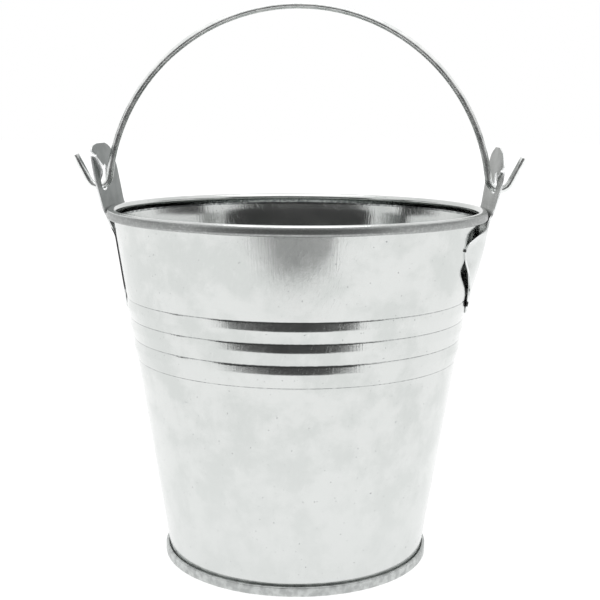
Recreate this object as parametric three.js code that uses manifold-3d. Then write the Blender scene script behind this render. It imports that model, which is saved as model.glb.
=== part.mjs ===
// A small galvanised florist's pail: a seamed sheet-metal bucket with two welded ears and a wire handle.
// Millimetres, +Z up. The origin is the centre of the circle that the foot ring stands on.
// The ears are on the X axis, their slots open towards -Y, and the handle stands upright in the XZ plane.
import * as THREE from "three";
import { mergeVertices } from "three/addons/utils/BufferGeometryUtils.js";
import Module from "manifold-3d";

const wasm = await Module();
wasm.setup();

// Driving dimensions
const SHEET = 0.25;               // thickness of the wall's and the bottom's sheet
const RIM_RADIUS = 55;            // outside of the rolled rim
const ROLL_RADIUS = 1.34;         // outside radius of the roll's section
const RIM_TOP = 103.33;           // height of the rim
const WALL_FOOT_RADIUS = 37.6;    // outside of the wall, carried down to the ground
const WALL_SLOPE = 0.154;         // outward run of the wall for each millimetre of height
const NECK_HEIGHT = 1.3;          // height of the drawn-in neck under the roll
const RIB_CREASES = [60.3, 66.5, 72.4, 78.2];  // heights of the grooves that bound the three ribs
const RIB_RISE = 0.28;            // height of a rib's crown over the plain wall
const FOOT_RADIUS = 39.2;         // outside of the bottom seam
const FOOT_HEIGHT = 2.8;          // height of the bottom seam
const FLOOR_HEIGHT = 2.5;         // top of the bottom disc
const ROUND_SEGMENTS = 48;        // facets round the pail

const HOOK_RADIUS_IN_SEAM = 38.66; // middle of the wall's edge, folded up inside the bottom's seam
const HOOK_TOP = 2.1;             // top of that folded edge
const WALL_LOW = 0.75;            // height where the wall turns out to it
const NECK_RUN = 1.2;             // height over which the wall draws in to the neck
const ROLL_END = -120;            // degrees at which the roll's edge ends, under it
const DISC_RADIUS = 36.6;         // flat part of the bottom disc
const LINING_RADIUS = 37.2;       // the bottom's turned-down ring, inside the wall
const FOLD_RADIUS = 38.27;        // middle of the bottom's edge, folded down behind the wall's hook

const EAR_SHEET = 0.5;            // thickness of an ear
const EAR_TURN = 5.5;             // degrees that an ear faces behind the X axis
const EAR_CENTRE = -2.4;          // middle of an ear's wings, measured along it from the foot of its normal
const EAR_RIM_DISTANCE = 55.55;   // from the axis to the middle of the ear's sheet, at the roll
const EAR_LEAN = 0.149;           // outward run of the strip above the rim for each millimetre of height
const EAR_STAND = 1.9;            // how far an ear stands off the wall, under the roll
const LEFT_STANDS = [94.5, 101.5];  // heights between which the left ear leaves the wall
const RIGHT_STANDS = [73.5, 95];    // the same for the right ear, which is bent out further
const ROLL_CENTRE_HEIGHT = RIM_TOP - ROLL_RADIUS;
const EAR_WALL_GAP = 0.1;         // play between an ear and the wall
const EAR_COLUMNS = 12;           // facets across an ear

const WIRE_RADIUS = 1;            // handle wire
const BAIL_RADIUS = 55.4;         // middle of the wire, over the arch
const BAIL_CENTRE_HEIGHT = 105.15;
const HOOK_RADIUS = 3.3;          // middle of the wire, round the bend in the slot
const HOOK_START = 6.85;          // degrees above the arch's centre where the bend begins
const HOOK_LEG_ANGLE = 63;        // degrees from level of the hook's straight leg
const HOOK_LEG_LENGTH = 8.2;
const PIVOT_HEIGHT = 109;         // the axis that the handle swings about, along X
const POCKET_RADII = [2.2, 1.5];  // pocket of the slot about that axis: along the ear, and up it

const degrees = Math.PI / 180;
const steel = (color, roughness) => new THREE.MeshStandardMaterial({ color, roughness, metalness: 1 });
const wallSteel = steel(0xd6d9d8, 0.28);
const bottomSteel = steel(0xc2c6c6, 0.35);
const earSteel = steel(0xa3a8a8, 0.42);
const wireSteel = steel(0xdadddd, 0.2);

const wallOutside = (z) => WALL_FOOT_RADIUS + WALL_SLOPE * z;

// The section of a sheet that follows a path of [radius, height] points: the path, moved half the thickness
// to each side, as one closed loop.
function sheetSection(path, thickness) {
  const points = path.map(([r, z]) => new THREE.Vector2(r, z));
  const side = (sign) => points.map((point, i) => {
    const before = points[Math.max(i - 1, 0)];
    const after = points[Math.min(i + 1, points.length - 1)];
    const into = point.clone().sub(before).normalize();
    const out = after.clone().sub(point).normalize();
    const along = into.clone().add(out).normalize();
    const mitre = Math.max(along.dot(i === 0 ? out : into), 0.5);
    const normal = new THREE.Vector2(-along.y, along.x);
    return point.clone().addScaledVector(normal, sign * thickness / 2 / mitre);
  });
  return [...side(-1), ...side(1).reverse()];
}

// A closed section, turned about the Z axis. A section that touches the axis isn't closed on itself there.
function turned(section) {
  const onAxis = section.some((point) => Math.abs(point.x) < 1e-9);
  const loop = onAxis ? section : [...section, section[0]];
  const geometry = new THREE.LatheGeometry(loop, ROUND_SEGMENTS);
  geometry.rotateX(Math.PI / 2);
  return geometry;
}

// Points on an arc of a section, from one angle to another, in degrees.
function arc(centreR, centreZ, radius, from, to, steps) {
  return Array.from({ length: steps + 1 }, (_, i) => {
    const angle = (from + (to - from) * i / steps) * degrees;
    return [centreR + radius * Math.cos(angle), centreZ + radius * Math.sin(angle)];
  });
}

// The three rolled ribs: between two creases the wall rises in a shallow arc.
function ribs(inward) {
  const points = [];
  for (let i = 0; i < RIB_CREASES.length - 1; i++) {
    const low = RIB_CREASES[i];
    const high = RIB_CREASES[i + 1];
    points.push([wallOutside(low) - inward, low]);
    for (const share of [0.3, 0.7]) {
      const z = low + (high - low) * share;
      points.push([wallOutside(z) - inward + RIB_RISE * Math.sin(Math.PI * share), z]);
    }
  }
  const last = RIB_CREASES.at(-1);
  points.push([wallOutside(last) - inward, last]);
  return points;
}

// The wall: the hook that the bottom's edge is folded round, the cone with its ribs, the neck and the roll.
function bodyWall() {
  const half = SHEET / 2;
  const rollR = RIM_RADIUS - ROLL_RADIUS;
  const rollPath = ROLL_RADIUS - half;
  const neckZ = ROLL_CENTRE_HEIGHT - NECK_HEIGHT;
  const neckStart = neckZ - NECK_RUN;
  const path = [
    [HOOK_RADIUS_IN_SEAM, HOOK_TOP],
    [HOOK_RADIUS_IN_SEAM, WALL_LOW + 0.05],
    [HOOK_RADIUS_IN_SEAM - 0.26, WALL_LOW - 0.2],
    [wallOutside(WALL_LOW) - half, WALL_LOW],
    ...ribs(half),
    [wallOutside(neckStart) - half, neckStart],
    [rollR - rollPath, neckZ],
    ...arc(rollR, ROLL_CENTRE_HEIGHT, rollPath, 180, ROLL_END, 8),
  ];
  return turned(sheetSection(path, SHEET));
}

// The bottom: a flat disc that turns down inside the wall, runs out under it and folds back over its hook.
function bottomPan() {
  const half = SHEET / 2;
  const skirt = FOOT_RADIUS - half;
  const path = [
    [0, FLOOR_HEIGHT - half],
    [DISC_RADIUS, FLOOR_HEIGHT - half],
    [LINING_RADIUS - 0.1, FLOOR_HEIGHT - 0.6],
    [LINING_RADIUS, 0.5],
    [LINING_RADIUS + 0.3, half],
    [skirt - 0.35, half],
    [skirt, 0.5],
    [skirt, FOOT_HEIGHT - 0.4],
    [skirt - 0.25, FOOT_HEIGHT - half],
    [FOLD_RADIUS + 0.23, FOOT_HEIGHT - half],
    [FOLD_RADIUS, FOOT_HEIGHT - 0.4],
    [FOLD_RADIUS, 1.1],
  ];
  return turned(sheetSection(path, SHEET));
}

// An ear's outline, as [front, back, height] with front and back measured along it. From the bottom: the blunt
// lower end, the wings that wrap the wall, their shoulders under the roll, and then the strip above the rim.
// The left ear's front wing is short, and the right ear's is long. A smooth curve runs through these points.
const LEFT_OUTLINE = [
  [-8.5, 3.5, 73], [-12.5, 10.5, 75], [-13.5, 13.5, 80], [-13.5, 18, 86], [-13.5, 22.5, 93], [-13, 20, 97.5],
  [-11.5, 12, 99.5], [-10, 11, 102], [-12, 10, 109.5], [-12.5, 9, 115], [-12, 6.5, 119], [-10.5, 4, 120.5],
  [-6.5, 1, 121.3],
];
const RIGHT_OUTLINE = [
  [-8.5, 3.5, 73], [-15, 10.5, 75], [-16.5, 13.5, 80], [-24.5, 18, 86], [-26, 21.5, 90.5], [-27.5, 22.5, 94],
  [-24, 19.5, 97.5], [-14, 12, 99.5], [-10.5, 8, 102], [-13, 7.5, 107], [-14, 7.5, 113], [-11, 6, 118.3],
  [-4, 1.5, 120.8],
];

// An ear's edges: its outline's curve, as [front, back, height] rows.
function edgeRows(outline) {
  const curve = new THREE.CatmullRomCurve3(outline.map((row) => new THREE.Vector3(...row)), false, "catmullrom");
  return curve.getPoints(2 * (outline.length - 1)).map((point) => point.toArray());
}

const smoothStep = (low, high, x) => THREE.MathUtils.smoothstep(x, low, high);

// The middle of an ear's sheet, in the ear's own axes: out along its normal, s along it, z up. It is flat above
// the roll. Below, it wraps round the pail, standing off the wall except where its wings are welded on.
function earMiddle(s, z, stands) {
  const onWall = wallOutside(z) + RIB_RISE * (1 - smoothStep(77, 80, z)) + EAR_WALL_GAP + EAR_SHEET / 2;
  const wing = smoothStep(14, 23, Math.abs(s - EAR_CENTRE));
  const welded = wing * smoothStep(86, 91.5, z) * (1 - smoothStep(94.5, 98.5, z));
  const radius = onWall + EAR_STAND * smoothStep(...stands, z) * (1 - welded);
  const wrapped = Math.sqrt(radius * radius - s * s);
  const flat = EAR_RIM_DISTANCE + (z - ROLL_CENTRE_HEIGHT) * EAR_LEAN;
  return new THREE.Vector3(THREE.MathUtils.lerp(wrapped, flat, smoothStep(99.5, 104, z)), s, z);
}

// The ear's blank without its slot: a grid with one row for each row of its edges, thickened along the sheet's
// normal.
function earBlank(edges, stands) {
  const step = 0.05;
  const positions = [];
  for (const face of [1, -1]) {
    for (const [front, back, z] of edges) {
      for (let c = 0; c <= EAR_COLUMNS; c++) {
        const s = THREE.MathUtils.lerp(front, back, c / EAR_COLUMNS);
        const alongS = earMiddle(s + step, z, stands).sub(earMiddle(s - step, z, stands));
        const alongZ = earMiddle(s, z + step, stands).sub(earMiddle(s, z - step, stands));
        const normal = alongS.cross(alongZ).normalize();
        const point = earMiddle(s, z, stands).addScaledVector(normal, face * EAR_SHEET / 2);
        positions.push(point.x, point.y, point.z);
      }
    }
  }
  const across = EAR_COLUMNS + 1;
  const layer = edges.length * across;
  const index = [];
  const quad = (a, b, c, d) => index.push(a, b, c, a, c, d);
  for (let r = 0; r < edges.length - 1; r++) {
    for (let c = 0; c < EAR_COLUMNS; c++) {
      const a = r * across + c;
      quad(a, a + 1, a + 1 + across, a + across);
      quad(layer + a, layer + a + across, layer + a + 1 + across, layer + a + 1);
    }
    const near = r * across;
    const far = near + EAR_COLUMNS;
    quad(near, near + across, layer + near + across, layer + near);
    quad(far, layer + far, layer + far + across, far + across);
  }
  const top = (edges.length - 1) * across;
  for (let c = 0; c < EAR_COLUMNS; c++) {
    quad(c, layer + c, layer + c + 1, c + 1);
    quad(top + c, top + c + 1, layer + top + c + 1, layer + top + c);
  }
  const geometry = new THREE.BufferGeometry();
  geometry.setAttribute("position", new THREE.Float32BufferAttribute(positions, 3));
  geometry.setIndex(index);
  return geometry;
}

const CUTTER_DEPTH = 8;

// The slot: a channel from the front edge down to a round pocket, with a recess that rises behind the finger.
// pocketS is the pocket's place along the ear, and slot holds the other corners as [s, z] points.
function slotCutter(pocketS, slot) {
  const shape = new THREE.Shape();
  shape.moveTo(...slot.mouthLow);
  shape.lineTo(...slot.channelLow);
  shape.absellipse(pocketS, PIVOT_HEIGHT, ...POCKET_RADII, 200 * degrees, 365 * degrees, false);
  shape.lineTo(...slot.recessBack);
  shape.quadraticCurveTo(...slot.recessTop, ...slot.recessFront);
  shape.lineTo(...slot.fingerTip);
  shape.lineTo(...slot.fingerEdge);
  shape.lineTo(...slot.mouthHigh);
  shape.closePath();
  const geometry = new THREE.ExtrudeGeometry(shape, { depth: CUTTER_DEPTH, bevelEnabled: false, curveSegments: 8 });
  // Shape x is s and shape y is z; the extrusion runs out along the ear's normal.
  const toEar = new THREE.Matrix4().makeBasis(
    new THREE.Vector3(0, 1, 0), new THREE.Vector3(0, 0, 1), new THREE.Vector3(1, 0, 0));
  geometry.applyMatrix4(toEar);
  geometry.translate(EAR_RIM_DISTANCE - 2, 0, 0);
  return geometry;
}

// The same solid as a manifold, for cutting.
function toManifold(geometry) {
  const bare = new THREE.BufferGeometry();
  bare.setAttribute("position", geometry.getAttribute("position").clone());
  if (geometry.index) bare.setIndex(geometry.index.clone());
  const merged = mergeVertices(bare, 1e-5);
  return new wasm.Manifold(new wasm.Mesh({
    numProp: 3,
    vertProperties: Float32Array.from(merged.getAttribute("position").array),
    triVerts: Uint32Array.from(merged.index.array),
  }));
}

function fromManifold(solid) {
  const mesh = solid.getMesh();
  const geometry = new THREE.BufferGeometry();
  geometry.setAttribute("position", new THREE.Float32BufferAttribute(mesh.vertProperties, mesh.numProp));
  geometry.setIndex(Array.from(mesh.triVerts));
  return geometry;
}

// A point mirrored to the other side of the pail, with the faces turned back out.
function mirrored(geometry) {
  geometry.scale(-1, 1, 1);
  const index = geometry.index.array;
  for (let i = 0; i < index.length; i += 3) [index[i], index[i + 1]] = [index[i + 1], index[i]];
  return geometry;
}

// One ear on the +X side: its axes turned so that its normal points a little behind the X axis.
function ear(outline, stands, slot) {
  const pocketOut = EAR_RIM_DISTANCE + (PIVOT_HEIGHT - ROLL_CENTRE_HEIGHT) * EAR_LEAN;
  const pocketS = -pocketOut * Math.tan(EAR_TURN * degrees);
  const solid = toManifold(earBlank(edgeRows(outline), stands)).subtract(toManifold(slotCutter(pocketS, slot)));
  const geometry = fromManifold(solid);
  geometry.rotateZ(EAR_TURN * degrees);
  return geometry;
}

// The left ear's finger stands open. The right ear's finger is bent down over the channel.
const LEFT_SLOT = {
  mouthLow: [-13.6, 119.3], channelLow: [-8.2, 113.2], mouthHigh: [-13.6, 120.3], fingerEdge: [-9.1, 118.7],
  fingerTip: [-3.2, 114.6], recessFront: [-3, 114.9], recessTop: [-1.2, 115.8], recessBack: [-0.9, 113.4],
};
const RIGHT_SLOT = {
  mouthLow: [-15, 115.2], channelLow: [-8.6, 111], mouthHigh: [-15, 116.4], fingerEdge: [-11, 115.1],
  fingerTip: [-6.8, 111.5], recessFront: [-5.9, 113.4], recessTop: [-4.4, 114.8], recessBack: [-3.4, 112.8],
};

// The middle line of the handle's wire: hook leg, bend, arch, bend, hook leg, in the XZ plane.
class BailLine extends THREE.Curve {
  constructor() {
    super();
    this.bendCentreX = (BAIL_RADIUS + HOOK_RADIUS) * Math.cos(HOOK_START * degrees);
    this.bendCentreZ = BAIL_CENTRE_HEIGHT + (BAIL_RADIUS + HOOK_RADIUS) * Math.sin(HOOK_START * degrees);
    this.archHalf = (90 - HOOK_START) * degrees * BAIL_RADIUS;
    this.bendTurn = (90 - HOOK_START + HOOK_LEG_ANGLE) * degrees;
    this.bendLength = this.bendTurn * HOOK_RADIUS;
    this.half = this.archHalf + this.bendLength + HOOK_LEG_LENGTH;
  }

  // The point at a distance along the wire from the top of the arch, on the +X side.
  sidePoint(distance) {
    if (distance < this.archHalf) {
      const angle = distance / BAIL_RADIUS;
      return [BAIL_RADIUS * Math.sin(angle), BAIL_CENTRE_HEIGHT + BAIL_RADIUS * Math.cos(angle)];
    }
    const round = Math.min((distance - this.archHalf) / HOOK_RADIUS, this.bendTurn);
    const angle = (180 + HOOK_START) * degrees + round;
    const leg = Math.max(distance - this.archHalf - this.bendLength, 0);
    const x = this.bendCentreX + HOOK_RADIUS * Math.cos(angle) + leg * Math.cos(HOOK_LEG_ANGLE * degrees);
    const z = this.bendCentreZ + HOOK_RADIUS * Math.sin(angle) + leg * Math.sin(HOOK_LEG_ANGLE * degrees);
    return [x, z];
  }

  getPoint(t, target = new THREE.Vector3()) {
    const distance = (2 * t - 1) * this.half;
    const [x, z] = this.sidePoint(Math.abs(distance));
    return target.set(distance < 0 ? -x : x, 0, z);
  }
}

function bailHandle() {
  const circle = new THREE.Shape();
  circle.absarc(0, 0, WIRE_RADIUS, 0, 2 * Math.PI, false);
  const wire = { steps: 120, curveSegments: 4, extrudePath: new BailLine(), bevelEnabled: false };
  return new THREE.ExtrudeGeometry(circle, wire);
}

function named(name, geometry, material) {
  const mesh = new THREE.Mesh(geometry, material);
  mesh.name = name;
  return mesh;
}

const group = new THREE.Group();
group.add(
  named("body_wall", bodyWall(), wallSteel),
  named("bottom_pan", bottomPan(), bottomSteel),
  named("ear_left", mirrored(ear(LEFT_OUTLINE, LEFT_STANDS, LEFT_SLOT)), earSteel),
  named("ear_right", ear(RIGHT_OUTLINE, RIGHT_STANDS, RIGHT_SLOT), earSteel),
  named("bail_handle", bailHandle(), wireSteel),
);

export default group;
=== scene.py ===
"""A small galvanised florist's pail: a ribbed bucket with a rolled rim, a seamed foot, two ears and a bail.

Lengths are in millimetres and become metres when a mesh is made. The frame is the CAD model's: +Z up, the
origin at the centre of the foot, the ears on the X axis and the open sides of their slots towards -Y.
"""
import math

import bpy
import numpy as np
from mathutils import Matrix, Vector, noise
from mathutils.geometry import delaunay_2d_cdt


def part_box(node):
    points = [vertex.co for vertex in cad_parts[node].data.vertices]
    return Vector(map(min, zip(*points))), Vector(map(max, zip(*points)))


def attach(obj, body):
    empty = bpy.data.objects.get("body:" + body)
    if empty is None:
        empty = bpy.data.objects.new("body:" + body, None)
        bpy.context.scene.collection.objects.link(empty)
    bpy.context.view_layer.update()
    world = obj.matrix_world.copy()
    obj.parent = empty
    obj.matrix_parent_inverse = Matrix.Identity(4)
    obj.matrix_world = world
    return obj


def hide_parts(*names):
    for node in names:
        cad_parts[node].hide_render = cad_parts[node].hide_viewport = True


MM = 0.001
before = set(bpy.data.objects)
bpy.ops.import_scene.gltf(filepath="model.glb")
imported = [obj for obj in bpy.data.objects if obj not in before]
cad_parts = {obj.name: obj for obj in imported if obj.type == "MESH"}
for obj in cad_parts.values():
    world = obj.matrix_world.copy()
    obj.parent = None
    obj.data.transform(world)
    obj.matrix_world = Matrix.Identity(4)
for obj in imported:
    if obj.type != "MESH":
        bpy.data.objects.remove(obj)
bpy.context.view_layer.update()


def size_of(node):
    """The highest corner of a CAD node, in millimetres."""
    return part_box(node)[1] / MM


# Driving dimensions. The outer sizes come from the frame.
SHEET = 0.25
RIM_RADIUS = size_of("body_wall").x
RIM_TOP = size_of("body_wall").z
FOOT_RADIUS = size_of("bottom_pan").x
FOOT_HEIGHT = size_of("bottom_pan").z
ROLL_RADIUS = 1.34        # outside radius of the roll's section
ROLL_CENTRE_HEIGHT = RIM_TOP - ROLL_RADIUS
NECK_LOW = 1.5            # the neck's start, below the roll's centre
WALL_FOOT_RADIUS = 37.6   # outside of the wall, carried down to the ground
WALL_SLOPE = 0.154        # outward run of the wall for each millimetre of height
MIDDLE_RADIUS = 46        # the wall's, about halfway up
RIB_CREASES = [60.3, 66.5, 72.4, 78.2]   # heights of the grooves that bound the three ribs
RIB_RISES = [0.42, 0.38, 0.34]   # from the lowest rib up
FLARE_HEIGHT = 97.3       # above this the wall's inside opens out a little more
FLARE_SLOPE = 0.06
RIB_FACET = 2.6           # height of the straight facet under each crease
FLOOR_HEIGHT = 2.5
DISC_RADIUS = 36.6        # flat part of the bottom's disc
LINING_RADIUS = 37.2      # the bottom's turned-down ring, inside the wall
FOLD_RADIUS = 38.27       # middle of the bottom's edge, folded down behind the wall's hook
HOOK_RADIUS_IN_SEAM = 38.66   # middle of the wall's edge, folded up inside the bottom's seam

EAR_SHEET = 0.5
EAR_TURN = math.radians(5.5)   # how far an ear faces behind the X axis
EAR_CENTRE = -2.4         # middle of an ear's wings, measured along it
EAR_RIM_DISTANCE = 55.55  # from the axis to the middle of the ear's sheet, at the roll
EAR_LEAN = 0.149          # outward run of the strip above the rim for each millimetre of height
EAR_STAND = 1.9           # how far an ear stands off the wall, under the roll
EAR_WALL_GAP = 0.02

WIRE_RADIUS = 1.0
BAIL_RADIUS = 55.4        # middle of the wire, over the arch
BAIL_CENTRE_HEIGHT = 105.15
HOOK_RADIUS = 3.3         # middle of the wire, round the bend in the slot
HOOK_START = math.radians(6.85)       # where the bend begins, above the level of the arch's centre
HOOK_LEG_ANGLE = math.radians(63)     # from level
HOOK_LEG_LENGTH = 8.2
PIVOT_HEIGHT = 109.0      # the axis that the handle swings about, along X
POCKET_RADII = (2.5, 1.3)     # pocket of a slot about that axis: along the ear, and up it


def smooth_step(low, high, x):
    t = np.clip((x - low) / (high - low), 0, 1)
    return t * t * (3 - 2 * t)


def wall_outside(z):
    return WALL_FOOT_RADIUS + WALL_SLOPE * z


def arc(centre_r, centre_z, radius, start, end, steps):
    """Points on an arc, its angles in degrees."""
    angles = np.radians(np.linspace(start, end, steps + 1))
    return [(centre_r + radius * math.cos(a), centre_z + radius * math.sin(a)) for a in angles]


def spline(points, steps):
    """A Catmull-Rom curve through the points."""
    points = np.array(points, float)
    padded = np.vstack([2 * points[0] - points[1], points, 2 * points[-1] - points[-2]])
    made = []
    for i in range(1, len(padded) - 2):
        p0, p1, p2, p3 = padded[i - 1:i + 3]
        for t in np.arange(steps) / steps:
            cubic = 2 * p1 + (p2 - p0) * t + (2 * p0 - 5 * p1 + 4 * p2 - p3) * t ** 2
            made.append((cubic + (3 * p1 - p0 - 3 * p2 + p3) * t ** 3) / 2)
    made.append(points[-1])
    return np.array(made)


# ---------------------------------------------------------------- meshes

SHARP_ANGLE = math.radians(35)   # edges sharper than this aren't shaded smooth
TURN_SEGMENTS = 384              # facets round the pail


def add_mesh(name, points, faces):
    """A smooth-shaded object from points in millimetres."""
    mesh = bpy.data.meshes.new(name)
    mesh.from_pydata((np.asarray(points, float) * MM).tolist(), [], faces)
    mesh.validate()
    mesh.shade_smooth()
    mesh.set_sharp_from_angle(angle=SHARP_ANGLE)
    obj = bpy.data.objects.new(name, mesh)
    bpy.context.scene.collection.objects.link(obj)
    return obj


def paint(obj, name, values):
    """A number at each vertex, which a material can read."""
    layer = obj.data.attributes.new(name, "FLOAT", "POINT")
    layer.data.foreach_set("value", np.asarray(values, np.float32))


def sheet_section(path, thickness):
    """A path of (radius, height) points, moved half the thickness to each side, as one closed loop."""
    path = np.array(path, float)
    steps = np.diff(path, axis=0)
    steps /= np.linalg.norm(steps, axis=1)[:, None]
    into = np.vstack([steps[:1], steps])
    out = np.vstack([steps, steps[-1:]])
    along = into + out
    along /= np.linalg.norm(along, axis=1)[:, None]
    mitre = np.maximum((along * into).sum(1), 0.5)
    normal = np.column_stack([-along[:, 1], along[:, 0]]) * (thickness / 2 / mitre)[:, None]
    return np.vstack([path - normal, (path + normal)[::-1]])


def turned(section, move):
    """The points and faces of a closed section turned about Z. move(angle, r, z) gives their radii."""
    angles = np.arange(TURN_SEGMENTS) * (2 * math.pi / TURN_SEGMENTS)
    angle, r = np.meshgrid(angles, section[:, 0], indexing="ij")
    z = np.meshgrid(angles, section[:, 1], indexing="ij")[1]
    r = move(angle, r, z)
    points = np.stack([r * np.cos(angle), r * np.sin(angle), z], -1).reshape(-1, 3)
    count = len(section)
    faces = []
    for i in range(TURN_SEGMENTS):
        a, b = i * count, (i + 1) % TURN_SEGMENTS * count
        for j in range(count):
            k = (j + 1) % count
            faces.append((a + j, b + j, b + k, a + k))
    return points, faces


def waves(angle, z, size, seed, stretch=1.0):
    """Smooth noise over the wall, about size millimetres from crest to crest, stretched up the wall."""
    x, y = np.cos(angle) * MIDDLE_RADIUS / size, np.sin(angle) * MIDDLE_RADIUS / size
    flat = np.stack([x, y, z / size / stretch + seed], -1)
    return np.array([noise.noise(Vector(p)) for p in flat.reshape(-1, 3)]).reshape(angle.shape)


# ---------------------------------------------------------------- the wall

SEAM_ANGLE = math.radians(183.5)   # the wall's lap weld, under the left ear
SEAM_HALF_WIDTH = 1.8
SEAM_STEP = 0.22
GROOVE_DEPTH = 0.05
GROOVE_HALF_WIDTH = 0.32
RIB_ROUNDING = 0.06
NECK_SHADE_HEIGHT = ROLL_CENTRE_HEIGHT - 1.1   # middle of the painted shade in the neck
NECK_SHADE_REACH = 0.9
FOOT_RUB_TOP = 3.4        # below this the wall is dulled by the seam
FOOT_RUB = 0.8
# The roll's section, a rounded square, in shares of its radius: up from its inner side, over and under.
ROLL_SHAPE = [
    (-1, 0), (-0.93, 0.45), (-0.55, 0.88), (0, 1), (0.45, 0.93), (0.81, 0.62), (0.95, 0.2), (1, -0.3),
    (0.98, -0.76), (0.7, -1), (0.2, -1), (-0.2, -0.85),
]


def groove(z):
    """How deep the wall is pressed in at a crease, with 1 at its bottom."""
    depth = 0
    for crease in RIB_CREASES:
        off = min(abs(z - crease) / GROOVE_HALF_WIDTH, 1)
        depth = max(depth, (1 + math.cos(math.pi * off)) / 2)
    return depth


def rib_rise(z):
    """How far the wall stands out of its cone: each rib is a straight upper facet and a lower flank."""
    rise = -GROOVE_DEPTH * groove(z)
    for low, high, crown in zip(RIB_CREASES, RIB_CREASES[1:], RIB_RISES):
        if low < z < high:
            upper = (high - z) / RIB_FACET
            lower = (z - low) / (high - low - RIB_FACET)
            nearer = math.exp(-upper / RIB_ROUNDING) + math.exp(-lower / RIB_ROUNDING)
            rise -= crown * RIB_ROUNDING * math.log(nearer)
    return rise


def wall_heights():
    """Heights of the wall's rows: coarse on the plain cone, fine over the ribs, finest in the grooves."""
    low, high = RIB_CREASES[0] - 0.6, RIB_CREASES[-1] + 0.6
    heights = list(np.linspace(0.75, low, 40))
    heights += list(np.linspace(low, high, 90))
    top = ROLL_CENTRE_HEIGHT - NECK_LOW
    heights += list(np.linspace(high, top - 0.9, 22)) + [top - 0.5, top - 0.25, top - 0.1, top]
    for crease in RIB_CREASES:
        heights += [crease + GROOVE_HALF_WIDTH * share for share in (-1, -0.5, 0, 0.5, 1)]
    heights = sorted(heights)
    return [z for z, after in zip(heights, heights[1:] + [1e9]) if after - z > 0.05]


def wall_path():
    """The middle of the wall's sheet: the hook in the seam, the ribbed cone, the neck and the roll."""
    half = SHEET / 2
    roll_r = RIM_RADIUS - ROLL_RADIUS
    roll_path = ROLL_RADIUS - half
    hook = [(HOOK_RADIUS_IN_SEAM, 2.1), (HOOK_RADIUS_IN_SEAM, 0.8), (HOOK_RADIUS_IN_SEAM - 0.26, 0.55)]
    cone = [(wall_outside(z) - half + rib_rise(z), z) for z in wall_heights()]
    roll_inside = roll_r - roll_path
    neck = [(roll_inside + 0.3, ROLL_CENTRE_HEIGHT - 0.9), (roll_inside + 0.08, ROLL_CENTRE_HEIGHT - 0.45)]
    shape = spline(ROLL_SHAPE, 5)
    roll = [(roll_r + r * roll_path, ROLL_CENTRE_HEIGHT + z * roll_path) for r, z in shape]
    return hook + cone + neck + roll


def from_seam(angle, r):
    """Distance round the wall from the middle of its lap weld."""
    return np.abs((angle - SEAM_ANGLE + math.pi) % (2 * math.pi) - math.pi) * r


def dent_wall(angle, r, z):
    """The flare inside the mouth, the sheet's long soft waves, and the lap weld's step."""
    flared = (z > FLARE_HEIGHT) & (z < ROLL_CENTRE_HEIGHT - NECK_LOW + 0.01)
    inside = r < wall_outside(z) - SHEET / 2
    r = r + (flared & inside) * FLARE_SLOPE * (z - FLARE_HEIGHT)
    # The seam at the foot and the roll at the top hold the sheet true.
    free = smooth_step(2, 12, z) * (1 - smooth_step(94, 99, z))
    r = r + free * (0.09 * waves(angle, z, 34, 3.1) + 0.035 * waves(angle, z, 12, 8.4, 2))
    on_wall = smooth_step(2.2, 3.4, z) * (1 - smooth_step(98, 99.5, z))
    lap = 1 - smooth_step(SEAM_HALF_WIDTH, SEAM_HALF_WIDTH + 0.5, from_seam(angle, r))
    return r + SEAM_STEP * lap * on_wall


def paint_wall(obj, section):
    """Painted shade in the ribs' grooves and neck; the zinc dulled at the foot and on the roll's face, which
    is also painted darker as a painted reflection.
    """
    in_groove = np.array([groove(z) for z in section[:, 1]])
    # The ribs' grooves and the inside of the neck are marked for painted shade.
    at_neck = np.abs(section[:, 1] - NECK_SHADE_HEIGHT) < NECK_SHADE_REACH
    in_neck = at_neck & (section[:, 0] < RIM_RADIUS - 1.5 * ROLL_RADIUS)
    paint(obj, "crease", np.tile(np.maximum(in_groove, in_neck), TURN_SEGMENTS))
    # The roll's outer face is painted darker, a painted dark reflection, and made rougher; the foot is only
    # made rougher.
    height = (section[:, 1] - ROLL_CENTRE_HEIGHT) / ROLL_RADIUS
    outer_face = (section[:, 0] > RIM_RADIUS - 0.5 * ROLL_RADIUS) & (height > -0.95) & (height < 0.72)
    rubbed_and_shaded = np.maximum(outer_face, FOOT_RUB * (section[:, 1] < FOOT_RUB_TOP))
    paint(obj, "rubbed_and_shaded", np.tile(rubbed_and_shaded, TURN_SEGMENTS))


def wall():
    section = sheet_section(wall_path(), SHEET)
    obj = add_mesh("pail_wall", *turned(section, dent_wall))
    paint_wall(obj, section)
    return obj


# ---------------------------------------------------------------- the bottom

FOOT_BEND = 0.375   # radii of the sheet's bends at the seam's foot and top
TOP_BEND = 0.3


def pan_path():
    """The disc, its turn down inside the wall, and the seam that folds out and back over the wall's hook."""
    half = SHEET / 2
    skirt = FOOT_RADIUS - half
    disc = [(r, FLOOR_HEIGHT - half) for r in np.linspace(0, DISC_RADIUS, 24)]
    turn = [(LINING_RADIUS - 0.3, FLOOR_HEIGHT - 0.28), (LINING_RADIUS - 0.1, FLOOR_HEIGHT - 0.6)]
    turn.append((LINING_RADIUS, 0.5))
    inner_bend = arc(LINING_RADIUS + FOOT_BEND, 0.5, FOOT_BEND, 180, 270, 4)[1:]
    outer_bend = arc(skirt - FOOT_BEND, 0.5, FOOT_BEND, -90, 0, 4)
    over = arc(skirt - TOP_BEND, FOOT_HEIGHT - half - TOP_BEND, TOP_BEND, 0, 90, 4)
    back = [(FOLD_RADIUS + 0.23, FOOT_HEIGHT - half), (FOLD_RADIUS, FOOT_HEIGHT - 0.4), (FOLD_RADIUS, 1.1)]
    return disc + turn + inner_bend + outer_bend + over + back


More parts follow.
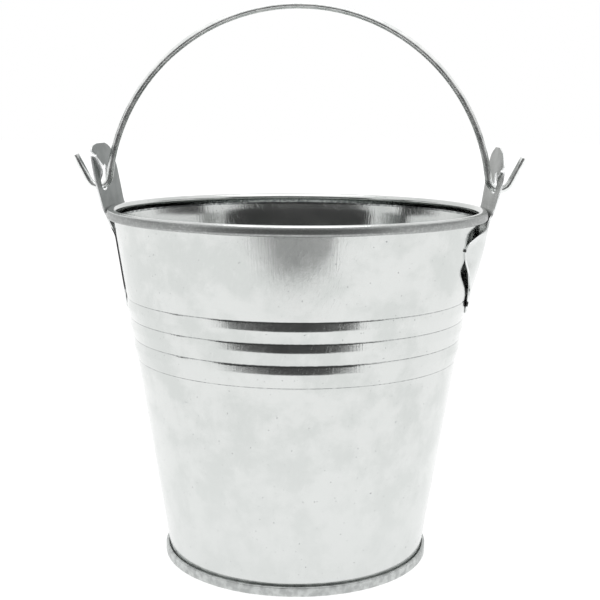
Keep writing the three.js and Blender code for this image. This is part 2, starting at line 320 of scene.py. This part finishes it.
def dent_pan(angle, r, z):
    """Small dents in the seam's outside and unevenness along its edges."""
    outside = smooth_step(FOOT_RADIUS - 0.6, FOOT_RADIUS - 0.1, r)
    return r + outside * (0.06 * waves(angle, z, 9, 5.5) + 0.03 * waves(angle, z, 2.5, 1.5))


def bottom():
    section = sheet_section(pan_path(), SHEET)
    section[:, 0] = np.maximum(section[:, 0], 0)
    return add_mesh("pail_bottom", *turned(section, dent_pan))


# ---------------------------------------------------------------- the handle

WIRE_SIDES = 24
WIRE_END_SHARE = 0.86      # the wire's ends are chamfered to this share of its radius
WIRE_CHAMFER = 0.12
WIRE_BUMP = 0.012
BEND_CENTRE = (
    (BAIL_RADIUS + HOOK_RADIUS) * math.cos(HOOK_START),
    BAIL_CENTRE_HEIGHT + (BAIL_RADIUS + HOOK_RADIUS) * math.sin(HOOK_START),
)
ARCH_HALF = (math.pi / 2 - HOOK_START) * BAIL_RADIUS
BEND_TURN = math.pi / 2 - HOOK_START + HOOK_LEG_ANGLE
BEND_LENGTH = BEND_TURN * HOOK_RADIUS


def wire_point(distance):
    """The wire's middle, in X and Z, at a distance from the arch's top: arch, bend, then straight leg."""
    if distance < ARCH_HALF:
        angle = distance / BAIL_RADIUS
        return BAIL_RADIUS * math.sin(angle), BAIL_CENTRE_HEIGHT + BAIL_RADIUS * math.cos(angle)
    turn = min((distance - ARCH_HALF) / HOOK_RADIUS, BEND_TURN)
    angle = math.pi + HOOK_START + turn
    leg = max(distance - ARCH_HALF - BEND_LENGTH, 0)
    x = BEND_CENTRE[0] + HOOK_RADIUS * math.cos(angle) + leg * math.cos(HOOK_LEG_ANGLE)
    z = BEND_CENTRE[1] + HOOK_RADIUS * math.sin(angle) + leg * math.sin(HOOK_LEG_ANGLE)
    return x, z


def wire_distances():
    """Steps along half the wire: long ones over the arch, short ones round the bend."""
    arch = list(np.linspace(0, ARCH_HALF, 130))
    bend = list(np.linspace(ARCH_HALF, ARCH_HALF + BEND_LENGTH, 36))[1:]
    end = ARCH_HALF + BEND_LENGTH + HOOK_LEG_LENGTH
    leg = list(np.linspace(ARCH_HALF + BEND_LENGTH, end - WIRE_CHAMFER, 10))[1:]
    return arch + bend + leg + [end]


def wire_line():
    """The wire's middle, from the -X end to the +X end."""
    half = [wire_point(distance) for distance in wire_distances()]
    return np.array([(-x, 0, z) for x, z in half[:0:-1]] + [(x, 0, z) for x, z in half])


def bail():
    centres = wire_line()
    along = np.gradient(centres, axis=0)
    along /= np.linalg.norm(along, axis=1)[:, None]
    across = np.array([0.0, 1.0, 0.0])
    outward = np.cross(along, across)
    turns = np.arange(WIRE_SIDES) * (2 * math.pi / WIRE_SIDES)
    points = []
    for i, centre in enumerate(centres):
        cut = i in (0, len(centres) - 1)
        for turn in turns:
            direction = across * math.cos(turn) + outward[i] * math.sin(turn)
            uneven = WIRE_BUMP * noise.noise(Vector(centre / 1.4 + direction * 0.8))
            radius = WIRE_RADIUS * WIRE_END_SHARE if cut else WIRE_RADIUS + uneven
            points.append(centre + direction * radius)
    faces = []
    for i in range(len(centres) - 1):
        for j in range(WIRE_SIDES):
            k = (j + 1) % WIRE_SIDES
            a, b = i * WIRE_SIDES, (i + 1) * WIRE_SIDES
            faces.append((a + j, a + k, b + k, b + j))
    last = (len(centres) - 1) * WIRE_SIDES
    faces.append(tuple(range(WIRE_SIDES))[::-1])
    faces.append(tuple(range(last, last + WIRE_SIDES)))
    return add_mesh("bail_wire", points, faces)


# ---------------------------------------------------------------- the ears

EAR_GRID = 0.7             # step of the grid of points inside a blank
EAR_GRID_ALONG = (-27.2, 22.5)
EAR_GRID_UP = (73.5, 121)
EAR_EDGE_CLEARANCE = 0.3   # the grid keeps this far from the blank's edges
EAR_EDGE_BEVEL = 0.08
LIP_RADIUS = 0.5           # bend of the lip over a slot's channel
LIP_ROWS = ((30, 0), (60, 0), (85, 0.962))   # degrees round the bend, and share of the straight part past it

# Each ear's outline as (front, back, height), measured along the ear and up: the blunt lower end, the wings
# that wrap the wall, their shoulders under the roll, and the strip above it. The left ear's front wing is
# short. "stands" are the heights between which the ear leaves the wall. The lip grows to its full width
# between "lip_heights", clear of the wire's path.
LEFT_EAR = {
    "side": -1,
    "stands": (94.5, 101.5),
    "outline": [
        (-8.5, 3.5, 73), (-12.5, 10.5, 75), (-13.5, 13.5, 80), (-13.5, 18, 86), (-13.5, 22.5, 93),
        (-13, 20, 97.5), (-11.5, 12, 99.5), (-10, 11, 102), (-12, 10, 109.5), (-12.5, 9, 115),
        (-12, 6.5, 119), (-10.5, 4, 120.5), (-6.5, 1, 121.3),
    ],
    "mouth_low": (-13.6, 119.3), "channel_low": (-8.2, 113.2), "mouth_high": (-13.6, 119.7),
    "finger_edge": (-9.1, 118), "finger_tip": (-3.2, 114.6), "recess_front": (-3, 114.9),
    "recess_top": (-1.2, 115.8), "recess_back": (-0.9, 113.4),
    "lip": 1.3, "lip_heights": (109.8, 113.4),
}
RIGHT_EAR = {
    "side": 1,
    "stands": (73.5, 95),
    "outline": [
        (-8.5, 3.5, 73), (-15, 10.5, 75), (-16.5, 13.5, 80), (-24.5, 18, 86), (-26, 21.5, 90.5),
        (-27.5, 22.5, 94), (-24, 19.5, 97.5), (-14, 12, 99.5), (-10.5, 8, 102), (-13, 7.5, 107),
        (-14, 7.5, 113), (-11, 6, 118.3), (-4, 1.5, 120.8),
    ],
    "mouth_low": (-15, 115.2), "channel_low": (-8.6, 111), "mouth_high": (-15, 116.2),
    "finger_edge": (-11, 114.9), "finger_tip": (-6.8, 111.5), "recess_front": (-5.9, 113.4),
    "recess_top": (-4.4, 114.8), "recess_back": (-3.4, 112.8),
    "lip": 0.8, "lip_heights": (109.6, 112.6),
}


def ear_middle(s, z, stands):
    """The middle of an ear's sheet, for points s along it and z up.

    It is flat above the roll, and below it is wrapped round the wall.
    """
    over_rib = RIB_RISES[-1] * (1 - smooth_step(77, 80, z))
    on_wall = wall_outside(z) + over_rib + EAR_WALL_GAP + EAR_SHEET / 2
    wing = smooth_step(14, 23, np.abs(s - EAR_CENTRE))
    welded = wing * smooth_step(86, 91.5, z) * (1 - smooth_step(94.5, 98.5, z))
    radius = on_wall + EAR_STAND * smooth_step(*stands, z) * (1 - welded)
    bent = np.sqrt(radius ** 2 - s ** 2)
    flat = EAR_RIM_DISTANCE + (z - ROLL_CENTRE_HEIGHT) * EAR_LEAN
    above = smooth_step(99.5, 104, z)
    return np.stack([bent + (flat - bent) * above, s, z], -1)


def ear_blank(details):
    """An ear's outline as one closed loop of points, up its back edge and down its front."""
    back = spline([(b, z) for _, b, z in details["outline"]], 8)
    front = spline([(f, z) for f, _, z in details["outline"]], 8)
    return [tuple(p) for p in back] + [tuple(p) for p in front[::-1]]


def tongue_edge(details, pocket_s):
    """The lower side of a slot's channel, as points from its mouth to its pocket."""
    start = math.radians(200)
    pocket = (pocket_s + POCKET_RADII[0] * math.cos(start), PIVOT_HEIGHT + POCKET_RADII[1] * math.sin(start))
    corners = np.array([details["mouth_low"], details["channel_low"], pocket])
    upper = corners[0] + np.linspace(0, 1, 16)[:, None] * (corners[1] - corners[0])
    lower = corners[1] + np.linspace(0, 1, 8)[1:, None] * (corners[2] - corners[1])
    return np.vstack([upper, lower])


def slot_outline(details, pocket_s):
    """A slot as one closed loop: the tongue's edge, the pocket, the recess and the finger over them."""
    points = [tuple(p) for p in tongue_edge(details, pocket_s)]
    for turn in np.radians(np.linspace(200, 365, 14))[1:]:
        s = pocket_s + POCKET_RADII[0] * math.cos(turn)
        points.append((s, PIVOT_HEIGHT + POCKET_RADII[1] * math.sin(turn)))
    back, top, front = (np.array(details[k]) for k in ("recess_back", "recess_top", "recess_front"))
    for t in np.linspace(0, 1, 7):
        points.append(tuple(back * (1 - t) ** 2 + top * 2 * t * (1 - t) + front * t * t))
    return points + [details["finger_tip"], details["finger_edge"], details["mouth_high"]]


def far_from(points, others, distance):
    """The points that keep a distance from all of the others."""
    points, others = np.array(points), np.array(others)
    gaps = np.linalg.norm(points[:, None] - others[None], axis=2).min(1)
    return [tuple(p) for p in points[gaps > distance]]


def ear_plate(blank, cut):
    """The flat blank less its slot, as points and triangles small enough to bend smoothly."""
    columns = np.arange(*EAR_GRID_ALONG, EAR_GRID)
    grid = [(s, z) for z in np.arange(*EAR_GRID_UP, EAR_GRID) for s in columns]
    grid = far_from(grid, blank + cut, EAR_EDGE_CLEARANCE)
    points = [Vector(p) for p in blank + cut + grid]
    loops = [list(range(len(blank))), list(range(len(blank), len(blank) + len(cut)))]
    flat, _, faces, _, _, sources = delaunay_2d_cdt(points, [], loops, 0, 1e-4)
    kept = [face for face, source in zip(faces, sources) if list(source) == [0]]
    used = sorted({i for face in kept for i in face})
    index = {old: new for new, old in enumerate(used)}
    return np.array(flat)[used], [tuple(index[i] for i in face) for face in kept]


def add_lip(width, heights, edge, flat, middle, triangles):
    """The tongue's edge bent in over the channel, as rows of points from the edge towards the pail."""
    chosen = []
    for point in edge:
        gaps = np.linalg.norm(flat - point, axis=1)
        if gaps.min() < 1e-3:
            chosen.append(int(gaps.argmin()))
    points = list(middle)
    rows = [chosen]
    along = np.gradient(flat[chosen], axis=0)
    along /= np.linalg.norm(along, axis=1)[:, None]
    reach = width * smooth_step(*heights, flat[chosen, 1])
    for degrees, straight in LIP_ROWS:
        turn = math.radians(degrees)
        rows.append(list(range(len(points), len(points) + len(chosen))))
        for i, step, full in zip(chosen, along, reach):
            radius = min(LIP_RADIUS, full)
            inward = radius * (1 - math.cos(turn)) + (full - radius) * straight
            rise = radius * math.sin(turn)
            points.append(middle[i] + np.array([-inward, -step[1] * rise, step[0] * rise]))
    for below, above in zip(rows, rows[1:]):
        for k in range(len(chosen) - 1):
            triangles.append((below[k], below[k + 1], above[k + 1], above[k]))
    return np.array(points), triangles


def ear(name, details):
    pocket_out = EAR_RIM_DISTANCE + (PIVOT_HEIGHT - ROLL_CENTRE_HEIGHT) * EAR_LEAN
    pocket_s = -pocket_out * math.tan(EAR_TURN)
    flat, triangles = ear_plate(ear_blank(details), slot_outline(details, pocket_s))
    middle = ear_middle(flat[:, 0], flat[:, 1], details["stands"])
    edge = tongue_edge(details, pocket_s)
    middle, triangles = add_lip(details["lip"], details["lip_heights"], edge, flat, middle, triangles)
    cos, sin = math.cos(EAR_TURN), math.sin(EAR_TURN)
    placed = np.stack([
        details["side"] * (middle[:, 0] * cos - middle[:, 1] * sin),
        middle[:, 0] * sin + middle[:, 1] * cos,
        middle[:, 2],
    ], -1)
    if details["side"] > 0:
        triangles = [t[::-1] for t in triangles]
    obj = add_mesh(name, placed, triangles)
    # The blank's border and the whole lip are painted bright: a painted highlight on the cut edges, a
    # painted reflection on the lip.
    bright = open_edges(len(middle), triangles)
    bright[len(flat):] = 1
    paint(obj, "edges_and_lip_painted_bright", bright)
    thicken(obj, EAR_SHEET)
    return obj


def open_edges(count, faces):
    """1 at each vertex on the border of a mesh, and 0 inside it."""
    seen = {}
    for face in faces:
        for a, b in zip(face, face[1:] + face[:1]):
            key = (min(a, b), max(a, b))
            seen[key] = seen.get(key, 0) + 1
    border = np.zeros(count)
    for (a, b), times in seen.items():
        if times == 1:
            border[[a, b]] = 1
    return border


def thicken(obj, thickness):
    sheet = obj.modifiers.new("thickness", "SOLIDIFY")
    sheet.thickness = thickness * MM
    sheet.offset = 0
    round_edge = obj.modifiers.new("edge", "BEVEL")
    round_edge.width = EAR_EDGE_BEVEL * MM
    round_edge.segments = 2
    round_edge.limit_method = "ANGLE"
    round_edge.angle_limit = math.radians(50)


# ---------------------------------------------------------------- materials

def node(tree, kind, settings=None, **inputs):
    """A shader node. An input that is another node's socket is linked, and any other value is set."""
    made = tree.nodes.new(kind)
    for key, value in (settings or {}).items():
        setattr(made, key, value)
    for key, value in inputs.items():
        socket = made.inputs[key.replace("_", " ")]
        if isinstance(value, bpy.types.NodeSocket):
            tree.links.new(value, socket)
        else:
            socket.default_value = value
    return made


def sums(tree, operation, *values):
    """A Math node's result."""
    made = tree.nodes.new("ShaderNodeMath")
    made.operation = operation
    for socket, value in zip(made.inputs, values):
        if isinstance(value, bpy.types.NodeSocket):
            tree.links.new(value, socket)
        else:
            socket.default_value = value
    return made.outputs[0]


def ramp(tree, value, low, high, out_low=0.0, out_high=1.0):
    """value, turned smoothly from low..high to out_low..out_high."""
    made = node(tree, "ShaderNodeMapRange", {"interpolation_type": "SMOOTHSTEP"}, Value=value)
    for key, number in (("From Min", low), ("From Max", high), ("To Min", out_low), ("To Max", out_high)):
        made.inputs[key].default_value = number
    return made.outputs["Result"]


def wrapped(tree):
    """The distance round the pail, the height and the radius, in millimetres, as one vector."""
    place = node(tree, "ShaderNodeTexCoord").outputs["Object"]
    parts = node(tree, "ShaderNodeSeparateXYZ", Vector=place).outputs
    x, y, z = parts["X"], parts["Y"], parts["Z"]
    turn = sums(tree, "ARCTAN2", y, x)
    squares = sums(tree, "ADD", sums(tree, "MULTIPLY", x, x), sums(tree, "MULTIPLY", y, y))
    radius = sums(tree, "SQRT", squares)
    made = node(tree, "ShaderNodeCombineXYZ")
    tree.links.new(sums(tree, "MULTIPLY", turn, float(MIDDLE_RADIUS)), made.inputs["X"])
    tree.links.new(sums(tree, "MULTIPLY", z, 1 / MM), made.inputs["Y"])
    tree.links.new(sums(tree, "MULTIPLY", radius, 1 / MM), made.inputs["Z"])
    return made.outputs["Vector"]


def scaled(tree, vector, x, y, z):
    made = node(tree, "ShaderNodeMapping", Vector=vector)
    made.inputs["Scale"].default_value = (x, y, z)
    return made.outputs["Vector"]


def turned_map(tree, vector, angle, x, y):
    """A vector turned in its first two axes, then scaled."""
    made = node(tree, "ShaderNodeMapping", Vector=vector)
    made.inputs["Rotation"].default_value = (0, 0, angle)
    return scaled(tree, made.outputs["Vector"], x, y, 1)


def grain(tree, vector, scale, detail=2.0, roughness=0.5):
    made = node(tree, "ShaderNodeTexNoise", Vector=vector, Scale=scale, Detail=detail, Roughness=roughness)
    return made.outputs["Fac"]


def mixed(tree, share, first, second):
    """A colour between two, by share."""
    made = node(tree, "ShaderNodeMix", {"data_type": "RGBA"})
    for socket, value in ((made.inputs[0], share), (made.inputs[6], first), (made.inputs[7], second)):
        if isinstance(value, bpy.types.NodeSocket):
            tree.links.new(value, socket)
        else:
            socket.default_value = (*value, 1) if isinstance(value, tuple) else value
    return made.outputs[2]


def bump(tree, height, distance):
    """The normal of a surface raised by height times a distance in millimetres."""
    return node(tree, "ShaderNodeBump", Height=height, Distance=distance * MM).outputs["Normal"]


def new_metal(name):
    """A metal's material: its tree and its shader."""
    material = bpy.data.materials.new(name)
    material.use_nodes = True
    tree = material.node_tree
    shader = tree.nodes["Principled BSDF"]
    shader.inputs["Metallic"].default_value = 1.0
    return material, tree, shader


def feed(tree, shader, color, roughness, normal):
    tree.links.new(color, shader.inputs["Base Color"])
    tree.links.new(roughness, shader.inputs["Roughness"])
    tree.links.new(normal, shader.inputs["Normal"])


def painted(tree, name):
    """The number that paint() gave each vertex under a name."""
    return node(tree, "ShaderNodeAttribute", {"attribute_name": name}).outputs["Fac"]


def wall_color(tree, place, mottle, scratches, rubbed_and_shaded):
    """Mottled zinc with scratches and specks; paler towards the foot as painted light; painted shade along
    the creases and in the neck; the roll painted darker as a painted reflection.
    """
    height = node(tree, "ShaderNodeSeparateXYZ", Vector=place).outputs["Y"]
    color = mixed(tree, ramp(tree, mottle, 0.38, 0.62), (0.585, 0.605, 0.592), (0.66, 0.675, 0.664))
    # Paler towards the foot: painted light, for the brighter floor that the lower wall mirrors.
    color = mixed(tree, ramp(tree, height, 60, 5, 0, 0.5), color, (0.72, 0.74, 0.73))
    color = mixed(tree, sums(tree, "MULTIPLY", scratches, 0.3), color, (0.74, 0.75, 0.74))
    specks = ramp(tree, grain(tree, place, 1.3, 1), 0.73, 0.81)
    color = mixed(tree, specks, color, (0.36, 0.37, 0.37))
    # Painted shade, in dots, along the ribs' grooves and in the neck.
    dots = ramp(tree, grain(tree, place, 1.6, 2), 0.35, 0.6, 0.35, 1)
    crease_painted_shade = sums(tree, "MULTIPLY", ramp(tree, painted(tree, "crease"), 0.55, 0.95), dots)
    color = mixed(tree, crease_painted_shade, color, (0.2, 0.21, 0.21))
    # The roll's outer face painted darker: a painted dark reflection.
    roll_painted_shade = sums(tree, "MULTIPLY", rubbed_and_shaded, ramp(tree, height, 20, 60, 0, 1))
    return mixed(tree, roll_painted_shade, color, (0.33, 0.34, 0.335))


def wall_metal():
    """Bright rolled sheet, its fine draw lines running up the wall."""
    material, tree, shader = new_metal("wall_zinc")
    place = wrapped(tree)
    mottle = grain(tree, place, 0.09, 6, 0.6)
    fine = grain(tree, place, 2.2, 2)
    draw_lines = grain(tree, scaled(tree, place, 2.6, 0.05, 1), 1.0, 3)
    scratches = ramp(tree, grain(tree, turned_map(tree, place, 0.35, 5.5, 0.35), 1.0, 2), 0.62, 0.72)
    patchiness = ramp(tree, grain(tree, place, 1.9, 3), 0.2, 0.6, 0.6, 1)
    # Mask of the rougher foot and roll, and of the roll's painted dark reflection.
    rubbed_and_shaded = sums(tree, "MULTIPLY", painted(tree, "rubbed_and_shaded"), patchiness)
    color = wall_color(tree, place, mottle, scratches, rubbed_and_shaded)
    roughness = ramp(tree, mottle, 0.3, 0.7, 0.11, 0.15)
    roughness = sums(tree, "ADD", roughness, sums(tree, "MULTIPLY", rubbed_and_shaded, 0.3))
    relief = sums(tree, "ADD", sums(tree, "MULTIPLY", draw_lines, 1.7), sums(tree, "MULTIPLY", fine, 0.25))
    relief = sums(tree, "ADD", relief, sums(tree, "MULTIPLY", scratches, 0.3))
    feed(tree, shader, color, roughness, bump(tree, relief, 0.014))
    return material


def bottom_metal():
    """Grey zinc, blotched and rough where the seam was pressed."""
    material, tree, shader = new_metal("bottom_zinc")
    place = wrapped(tree)
    mottle = grain(tree, place, 0.5, 4)
    fine = grain(tree, place, 2.4, 3)
    color = mixed(tree, ramp(tree, mottle, 0.35, 0.65), (0.44, 0.455, 0.45), (0.64, 0.66, 0.65))
    color = mixed(tree, ramp(tree, fine, 0.64, 0.77), color, (0.32, 0.33, 0.33))
    roughness = ramp(tree, mottle, 0.3, 0.7, 0.4, 0.5)
    feed(tree, shader, color, roughness, bump(tree, fine, 0.05))
    return material


def ear_metal():
    """Dull on the strips, the left painted darker than the right as painted shade; bright on the wings; the
    cut edges and the lip painted brightest, a painted highlight and a painted reflection.
    """
    material, tree, shader = new_metal("ear_zinc")
    place = node(tree, "ShaderNodeTexCoord").outputs["Object"]
    parts = node(tree, "ShaderNodeSeparateXYZ", Vector=place).outputs
    fine = grain(tree, place, 1500, 2)
    blotches = ramp(tree, grain(tree, place, 180, 3), 0.35, 0.65)
    # The left strip is painted darker than the right: painted shade, one zinc lit and shaded.
    shaded_left_strip = mixed(tree, blotches, (0.235, 0.25, 0.245), (0.285, 0.30, 0.295))
    lit_right_strip = mixed(tree, blotches, (0.36, 0.37, 0.36), (0.43, 0.44, 0.43))
    strip = mixed(tree, ramp(tree, parts["X"], -0.01, 0.01), shaded_left_strip, lit_right_strip)
    wing = mixed(tree, blotches, (0.60, 0.62, 0.61), (0.66, 0.68, 0.67))
    dull = ramp(tree, parts["Z"], 0.096, 0.101)
    # Painted highlight on the cut edges and painted reflection on the lip.
    painted_bright = ramp(tree, painted(tree, "edges_and_lip_painted_bright"), 0.85, 0.98)
    color = mixed(tree, painted_bright, mixed(tree, dull, wing, strip), (0.85, 0.86, 0.86))
    roughness = sums(tree, "ADD", ramp(tree, dull, 0, 1, 0.2, 0.5), sums(tree, "MULTIPLY", painted_bright, -0.1))
    feed(tree, shader, color, roughness, bump(tree, fine, 0.015))
    return material


def wire_metal():
    """Bright drawn wire, slightly uneven."""
    material, tree, shader = new_metal("wire_zinc")
    place = node(tree, "ShaderNodeTexCoord").outputs["Object"]
    mottle = grain(tree, place, 300, 3)
    fine = grain(tree, place, 1300, 2)
    color = mixed(tree, ramp(tree, mottle, 0.35, 0.65), (0.76, 0.78, 0.77), (0.90, 0.91, 0.90))
    roughness = ramp(tree, mottle, 0.3, 0.7, 0.24, 0.36)
    feed(tree, shader, color, roughness, bump(tree, fine, 0.006))
    return material


# ---------------------------------------------------------------- camera, floor and light

CAMERA_DISTANCE = 336
CAMERA_HEIGHT = 131.94
CAMERA_ROUND = math.radians(2.9)   # how far round the pail from the front, towards +X
CAMERA_PITCH = math.radians(9.49)
CAMERA_YAW = 0.0027
CAMERA_ROLL = 0.006
CAMERA_LENS = 69.15
CAMERA_SENSOR = 36
WHITE = (1, 1, 1)
FLOOR_HALF = 4000
FLOOR_DROP = 0.02          # the floor's gap under the pail
FLOOR_ALBEDO = 0.22
FLOOR_GLOW = 0.9           # emission strength
CARD_GREY = 0.05
NEAR_CARD_GREYS = (0.9, 0.3)


def add_camera():
    data = bpy.data.cameras.new("camera")
    data.lens = CAMERA_LENS
    data.sensor_width = CAMERA_SENSOR
    data.clip_start = 0.01
    data.clip_end = 100
    camera = bpy.data.objects.new("camera", data)
    bpy.context.scene.collection.objects.link(camera)
    flat = math.cos(CAMERA_PITCH)
    forward = Vector((math.sin(CAMERA_YAW) * flat, math.cos(CAMERA_YAW) * flat, -math.sin(CAMERA_PITCH)))
    right = forward.cross(Vector((0, 0, 1))).normalized()
    up = right.cross(forward)
    cos, sin = math.cos(CAMERA_ROLL), math.sin(CAMERA_ROLL)
    right, up = right * cos + up * sin, up * cos - right * sin
    axes = Matrix((right, up, -forward)).transposed().to_4x4()
    place = Matrix.Translation(Vector((0, -CAMERA_DISTANCE, CAMERA_HEIGHT)) * MM)
    camera.matrix_world = Matrix.Rotation(CAMERA_ROUND, 4, "Z") @ place @ axes
    bpy.context.scene.camera = camera


def plain_material(name, grey):
    """A matte material for the studio."""
    material = bpy.data.materials.new(name)
    material.use_nodes = True
    shader = material.node_tree.nodes["Principled BSDF"]
    shader.inputs["Base Color"].default_value = (grey, grey, grey, 1)
    shader.inputs["Roughness"].default_value = 1.0
    shader.inputs["Specular IOR Level"].default_value = 0
    return material


def add_floor():
    """A pale floor that glows, so that it and its reflection in the pail are as white as the room."""
    size, drop = FLOOR_HALF, FLOOR_DROP
    corners = [(x * size, y * size, -drop) for x, y in ((-1, -1), (1, -1), (1, 1), (-1, 1))]
    floor = add_mesh("floor", corners, [(0, 1, 2, 3)])
    paint_white = plain_material("floor_paint", FLOOR_ALBEDO)
    shader = paint_white.node_tree.nodes["Principled BSDF"]
    shader.inputs["Emission Color"].default_value = (*WHITE, 1)
    shader.inputs["Emission Strength"].default_value = FLOOR_GLOW
    floor.data.materials.append(paint_white)


def card_felt(name, greys):
    """A matte grey that changes from the card's left edge to its right."""
    material = plain_material(name, greys[0])
    tree = material.node_tree
    place = node(tree, "ShaderNodeTexCoord").outputs["Generated"]
    along = node(tree, "ShaderNodeSeparateXYZ", Vector=place).outputs["X"]
    color = mixed(tree, ramp(tree, along, 0, 0.4), (greys[0],) * 3, (greys[1],) * 3)
    tree.links.new(color, tree.nodes["Principled BSDF"].inputs["Base Color"])
    return material


def add_card(name, azimuth, distance, sides, heights, greys=(CARD_GREY, CARD_GREY)):
    """A card that only reflections see, from one grey to another.

    Azimuth 0 is in front and 90 is at +X. sides are its left and right ends, from its middle, and heights
    its lower and upper edges.
    """
    turn = math.radians(azimuth)
    middle = Vector((math.sin(turn), -math.cos(turn), 0)) * distance
    side = Vector((math.cos(turn), math.sin(turn), 0))
    left, right = middle + side * sides[0], middle + side * sides[1]
    low, high = heights
    corners = ((left, low), (right, low), (right, high), (left, high))
    points = [(end.x, end.y, z) for end, z in corners]
    card = add_mesh(name, points, [(0, 1, 2, 3)])
    card.data.materials.append(card_felt(name + "_felt", greys))
    card.visible_camera = False
    card.visible_diffuse = False
    card.visible_shadow = False


def add_softbox(name, height, size, power):
    """A square light over the pail, facing down."""
    data = bpy.data.lights.new(name, "AREA")
    data.shape = "SQUARE"
    data.size = size * MM
    data.energy = power
    light = bpy.data.objects.new(name, data)
    bpy.context.scene.collection.objects.link(light)
    light.location = (0, 0, height * MM)


def add_world():
    world = bpy.data.worlds.new("studio")
    world.use_nodes = True
    background = world.node_tree.nodes["Background"]
    background.inputs["Color"].default_value = (*WHITE, 1)
    background.inputs["Strength"].default_value = 1.0
    bpy.context.scene.world = world
    bpy.context.scene.view_settings.view_transform = "Standard"


def add_studio():
    """A white room. Grey and dark cards stand in front and at the sides, for the metal to mirror."""
    add_world()
    add_floor()
    add_card("near_card", 0, 240, (-106, 106), (0, 14), NEAR_CARD_GREYS)
    add_card("front_low_card", 0, 280, (-310, 250), (0, 60))
    add_card("front_high_card", 0, 285, (-370, 442), (60, 250))
    add_card("left_card", -92, 1100, (-336, 336), (330, 600))
    add_card("left_flag", -78, 700, (-43, 43), (0, 330))
    add_card("right_card", 93, 1100, (-440, 440), (330, 600))
    add_softbox("top_box", 900, 600, 2.2)


# ---------------------------------------------------------------- the pail

def place_piece(obj, body, cad_node, material):
    obj.data.materials.append(material)
    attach(obj, body)
    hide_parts(cad_node)


add_camera()
add_studio()
ear_paint = ear_metal()
place_piece(wall(), "pail", "body_wall", wall_metal())
place_piece(bottom(), "pail", "bottom_pan", bottom_metal())
place_piece(ear("left_ear", LEFT_EAR), "pail", "ear_left", ear_paint)
place_piece(ear("right_ear", RIGHT_EAR), "pail", "ear_right", ear_paint)
place_piece(bail(), "bail", "bail_handle", wire_metal())
